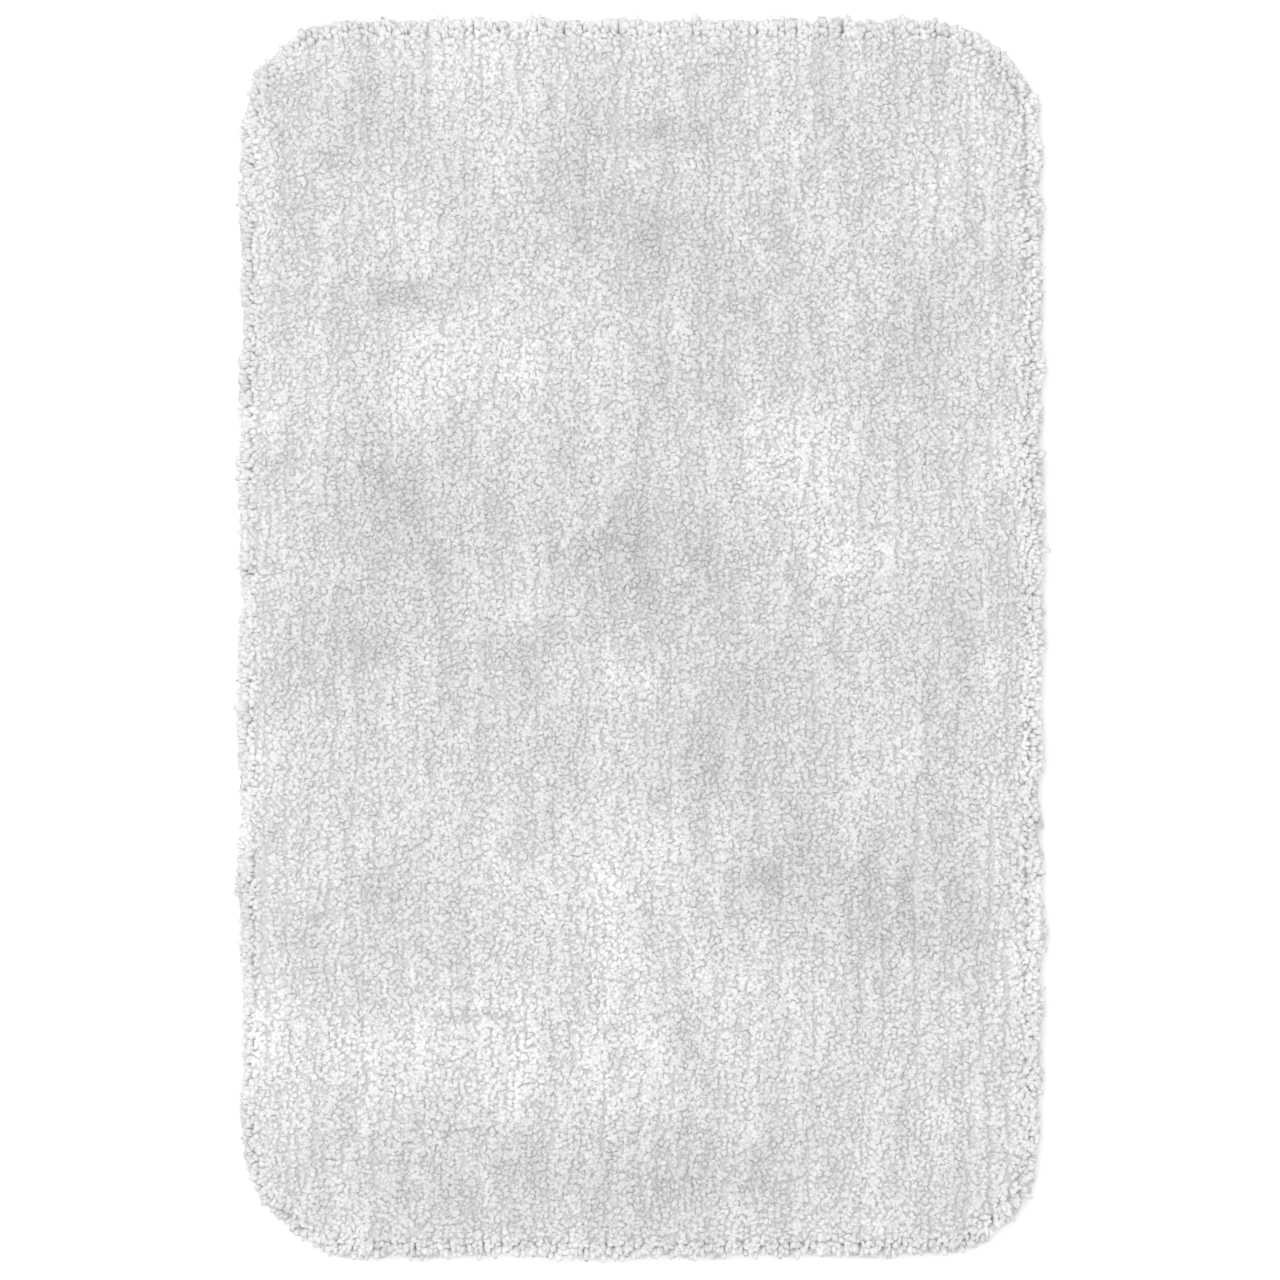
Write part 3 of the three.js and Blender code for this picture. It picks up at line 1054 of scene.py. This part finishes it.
# %% Plant one band
TUFT_RADIUS = 2.25 * MM
ROOT_DEPTH = 0.3 * MM
UPRIGHT_SHARE = 0.45
# The curve's middle point: its share of the tip's sideways shift, its least height, its lift by the lean.
MIDDLE_SHIFT = 0.16
MIDDLE_HEIGHT = 0.5
MIDDLE_LIFT = 0.1
RADIUS_NOISE = 0.11
RADIUS_AT_EDGE = 0.05
OVAL_RANGE = (0.72, 1.38)

tuft_pattern_number = random.integers(0, len(inner_patterns), len(root_x))
tuft_turn = random.uniform(0, math.tau, len(root_x))
tuft_radius = TUFT_RADIUS * (1 + random.normal(0, RADIUS_NOISE, len(root_x)) + RADIUS_AT_EDGE * fan)
tuft_oval = random.uniform(*OVAL_RANGE, len(root_x))
tuft_tone = random.normal(0, 1, len(root_x))
EDGE_ZONE = 4.5 * MM
is_edge = from_last_row < EDGE_ZONE
# An upright tuft's side lies in its neighbours' shade, and a fallen tuft's side doesn't.
SIDE_SHADE_LOST = 0.95
side_shade = 1 - SIDE_SHADE_LOST * np.sqrt(fan)


def bend(points, chosen):
    """The points of one pattern, bent along the lines of the chosen tufts."""
    share = points[None, :, 2]
    start = np.stack([root_x[chosen], root_y[chosen], np.full(len(chosen), cloth_high.z - ROOT_DEPTH)], 1)
    shift = np.stack([tip_x[chosen], tip_y[chosen], tip_z[chosen] + ROOT_DEPTH], 1)
    level = np.hypot(shift[:, 0], shift[:, 1])
    rise = length[chosen][:, None] * UPRIGHT_SHARE
    middle = shift * np.array([MIDDLE_SHIFT, MIDDLE_SHIFT, 0]) + np.array([0, 0, 1]) * rise
    middle[:, 2] = np.maximum(middle[:, 2], MIDDLE_HEIGHT * shift[:, 2]) + MIDDLE_LIFT * level
    t = share[..., None]
    line = 2 * t * (1 - t) * middle[:, None] + t * t * shift[:, None]
    along = 2 * (1 - 2 * t) * middle[:, None] + 2 * t * shift[:, None]
    along = along / np.linalg.norm(along, axis=2, keepdims=True)
    turn = tuft_turn[chosen]
    side = np.stack([np.cos(turn), np.sin(turn), np.zeros(len(chosen))], 1)[:, None]
    side = side - along * (side * along).sum(2, keepdims=True)
    side = side / np.linalg.norm(side, axis=2, keepdims=True)
    other = np.cross(along, side)
    radius = tuft_radius[chosen][:, None, None]
    oval = tuft_oval[chosen][:, None, None]
    across = points[None, :, 0:1] * radius * oval
    deep = points[None, :, 1:2] * radius / oval
    return start[:, None] + line + side * across + other * deep


def plant(name, chosen):
    """One mesh of all the chosen tufts."""
    coords, corners, starts, maps, tone, height, painted_lay_light = [], [], [], [], [], [], []
    cells = math.ceil(math.sqrt(len(chosen)))
    first_point, first_corner, cell = 0, 0, 0
    for patterns, at_edge in ((inner_patterns, False), (edge_patterns, True)):
        for number, (points, face_corners, face_starts, spots) in enumerate(patterns):
            mine = chosen[(tuft_pattern_number[chosen] == number) & (is_edge[chosen] == at_edge)]
            if len(mine) == 0:
                continue
            order = np.arange(len(mine))
            coords.append(bend(points, mine).reshape(-1, 3))
            shift = first_point + order[:, None] * len(points)
            corners.append((face_corners[None] + shift).ravel())
            starts.append((face_starts[None] + first_corner + order[:, None] * len(face_corners)).ravel())
            cell_number = cell + order
            corner = np.stack([cell_number % cells, cell_number // cells], 1)
            maps.append(((spots[None] + corner[:, None]) / cells).reshape(-1, 2))
            tone.append(np.repeat(tuft_tone[mine], len(points)))
            # The lay goes to the finish, which paints it into the colour as light and shade.
            painted_lay_light.append(np.repeat(lay_and_painted_light[mine], len(points)))
            # Painted shade: the height is raised towards 1 on tufts that fall at the edge, so less shade is
            # painted on their sides.
            height.append((1 - (1 - points[:, 2]) * side_shade[mine, None]).ravel())
            first_point += len(mine) * len(points)
            first_corner += len(mine) * len(face_corners)
            cell += len(mine)
    mesh = mesh_of_arrays(name, np.concatenate(coords), np.concatenate(corners), np.concatenate(starts))
    uv = mesh.uv_layers.new(name="OFBake")
    uv.uv.foreach_set("vector", np.concatenate(maps).astype(np.float32).ravel())
    for label, numbers in (("tone", tone), ("height", height), ("lay_and_painted_light", painted_lay_light)):
        store(mesh, label, np.concatenate(numbers))
    return mesh


# %% [markdown]
# ## The yarn's finish
# Microfibre yarn is white and matte, with a faint sheen where the light grazes it. Its colour is painted
# darker towards the roots and down the sides of upright tufts, as painted shade deep between the tufts, and
# lighter at the tips, as painted light; the lay of the pile paints it lighter or darker in patches, as
# painted sheen and shade. It is a little cooler or warmer in places, and each tuft differs slightly from
# the next. Fine lines along the yarn stand for its fibres.


# %% Mix the yarn's finish
def yarn_finish():
    """White matte yarn, whose tone comes from the tuft, with painted shade and light from the height along
    it and from the lay of the pile.
    """
    yarn = Finish("pile_yarn", Roughness=0.88, Sheen_Weight=0.25, Sheen_Roughness=0.45)
    # Painted shade and light: darker below four fifths of the height, lighter towards the tip.
    tip = yarn.between(yarn.attribute("height"), 0.80, 1.0)
    fibres = yarn.noise(yarn.along("OFBake", (1300, 160, 1)), 1.0, 1.0)
    fluff = yarn.noise(yarn.place(), 1000, 2.0, 0.6)
    lay_and_painted_light = yarn.between(yarn.attribute("lay_and_painted_light"), -LAY_LIMIT, LAY_LIMIT)
    fluffy = yarn.between(fluff, 0.3, 0.7) * 0.38
    fibrous = yarn.between(fibres, 0.3, 0.7) * 0.22
    # How far each point goes from the shaded colour to the lit one: painted shade and light from the
    # height, with each tuft's own tone and the fibres' noise.
    painted_light_and_tone = tip * 0.45 + yarn.attribute("tone") * 0.10 + fluffy + fibrous - 0.02
    # Painted shade and light: deep stands for the shade between the tufts, light for the lit tips, and the
    # lay makes both lighter or darker, as painted sheen and shade.
    deep = yarn.mix(lay_and_painted_light, (0.42, 0.412, 0.416, 1), (0.70, 0.687, 0.692, 1))
    light = yarn.mix(lay_and_painted_light, (0.52, 0.51, 0.514, 1), (0.87, 0.854, 0.861, 1))
    yarn_colour = yarn.mix(yarn.between(painted_light_and_tone, 0.0, 1.0), deep, light)
    patches = yarn.between(yarn.noise(yarn.place(), 9.0, 2.0), 0.56, 0.74, 0.0, 0.35)
    yarn.colour(yarn.mix(patches, yarn_colour, (0.66, 0.66, 0.635, 1)))
    yarn.relief(fibres * 0.6 + fluff * 0.5, 0.7 * MM, 0.8)
    yarn.roughness(yarn.between(fibres, 0.3, 0.7, 0.80, 0.95))
    return yarn


yarn = yarn_finish()

# %% Plant all the bands
for number in range(BAND_COUNT):
    chosen = np.flatnonzero(tuft_band == number)
    node = f"pile_band_{number + 1:02d}"
    name = f"tufts_{number + 1:02d}"
    mesh = plant(name, chosen)
    add_piece(name, mesh, yarn, "pile", node)
    triangles = len(mesh.loops) - 2 * len(mesh.polygons)
    print(node, "tufts:", len(chosen), "faces:", len(mesh.polygons), "triangles:", triangles)

# %% [markdown]
# ## The loose fibres between the tufts
# Microfibre sheds into its neighbours: between two tufts the gap is full of stray fibres, so nobody sees
# down to the cloth. Each fibre on its own would take far too many faces, so one closed, wavy body fills the
# gaps, a few millimetres under the tips, and only glimpses of it show. Its colour is darker than the
# tufts', and darker still in the hollows of its tangles, as painted shade deep in the pile. It starts as
# one flat face with four round corners, is drawn up from the cloth, and its top is cut into small squares,
# which are then raised and lowered.


# %% Fill the gaps with loose fibres
GROUND_CLEARANCE = 0.6 * MM
GROUND_INSET = TAPE_INSET + GROUND_CLEARANCE
GROUND_RIM = 0.3 * MM
GROUND_CELL = 4.0 * MM
GROUND_BELOW_TIPS = 2.5 * MM
GROUND_SHOULDER = 5.5 * MM


def tips_around(x, y):
    """The mean height of the tips around each point, from a grid of square cells."""
    edges_x = np.arange(-half_width, half_width + GROUND_CELL, GROUND_CELL)
    edges_y = np.arange(-half_length, half_length + GROUND_CELL, GROUND_CELL)
    tips = (root_x + tip_x, root_y + tip_y)
    total = np.histogram2d(*tips, bins=(edges_x, edges_y), weights=cloth_high.z + tip_z)[0]
    count = np.histogram2d(*tips, bins=(edges_x, edges_y))[0]
    for axis in (0, 1):
        total = total + np.roll(total, 1, axis) + np.roll(total, -1, axis)
        count = count + np.roll(count, 1, axis) + np.roll(count, -1, axis)
    mean = total / np.maximum(count, 1)
    cell_x = np.clip(np.searchsorted(edges_x, x) - 1, 0, mean.shape[0] - 1)
    cell_y = np.clip(np.searchsorted(edges_y, y) - 1, 0, mean.shape[1] - 1)
    return mean[cell_x, cell_y]


ground_top = cloth_high.z + PILE_LENGTH
bm = flat_body(GROUND_INSET, tape_high.z, ground_top)
cut_across(bm, ground_top, 0, steps(half_width - GROUND_INSET, GROUND_CELL))
cut_across(bm, ground_top, 1, steps(half_length - GROUND_INSET, GROUND_CELL))
top_verts = [v for v in bm.verts if abs(v.co.z - ground_top) < SAME_PLACE]
places = np.array([v.co[:] for v in top_verts])
inside = from_edge(places[:, 0], places[:, 1])[0] - GROUND_INSET
rise = np.sqrt(1 - (1 - np.clip(inside / GROUND_SHOULDER, 0, 1)) ** 2)
crest = tips_around(places[:, 0], places[:, 1]) - GROUND_BELOW_TIPS
for v, height in zip(top_verts, tape_high.z + GROUND_RIM + rise * (crest - tape_high.z)):
    v.co.z = height
ground_mesh = mesh_from(bm, "loose_fibres")
ground_mesh.shade_smooth()
ground_finish = Finish("loose_fibres", Roughness=0.95)
tangles = ground_finish.noise(ground_finish.place(), 330, 3.0, 0.65)
tangle_height_and_shade = ground_finish.between(tangles, 0.36, 0.64)
# Painted shade: the loose fibres are darker than the tufts, and darker in the hollows of the tangles.
ground_finish.colour(ground_finish.mix(tangle_height_and_shade, (0.52, 0.511, 0.515, 1), (0.71, 0.70, 0.704, 1)))
ground_finish.relief(tangle_height_and_shade, 0.9 * MM, 1.0)
ground = add_piece("loose_fibres", ground_mesh, ground_finish, "pile")
print("faces in the loose fibres:", len(ground_mesh.polygons))

# %% [markdown]
# ## The sheets
# Three pieces are sheets of cloth: the backing, the folded tape and the folded label.

# %% [markdown]
# ## The mat's box
# Both boxes, the frame's that the mat was built on and the finished mat's, are printed. The finished mat
# may stand only a little proud of the frame it was built on.

# %% Finish
visual_low, visual_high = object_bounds()
size = {
    "cad": [list(cad_low), list(cad_high)],
    "visual": [list(visual_low), list(visual_high)],
}
print(size)
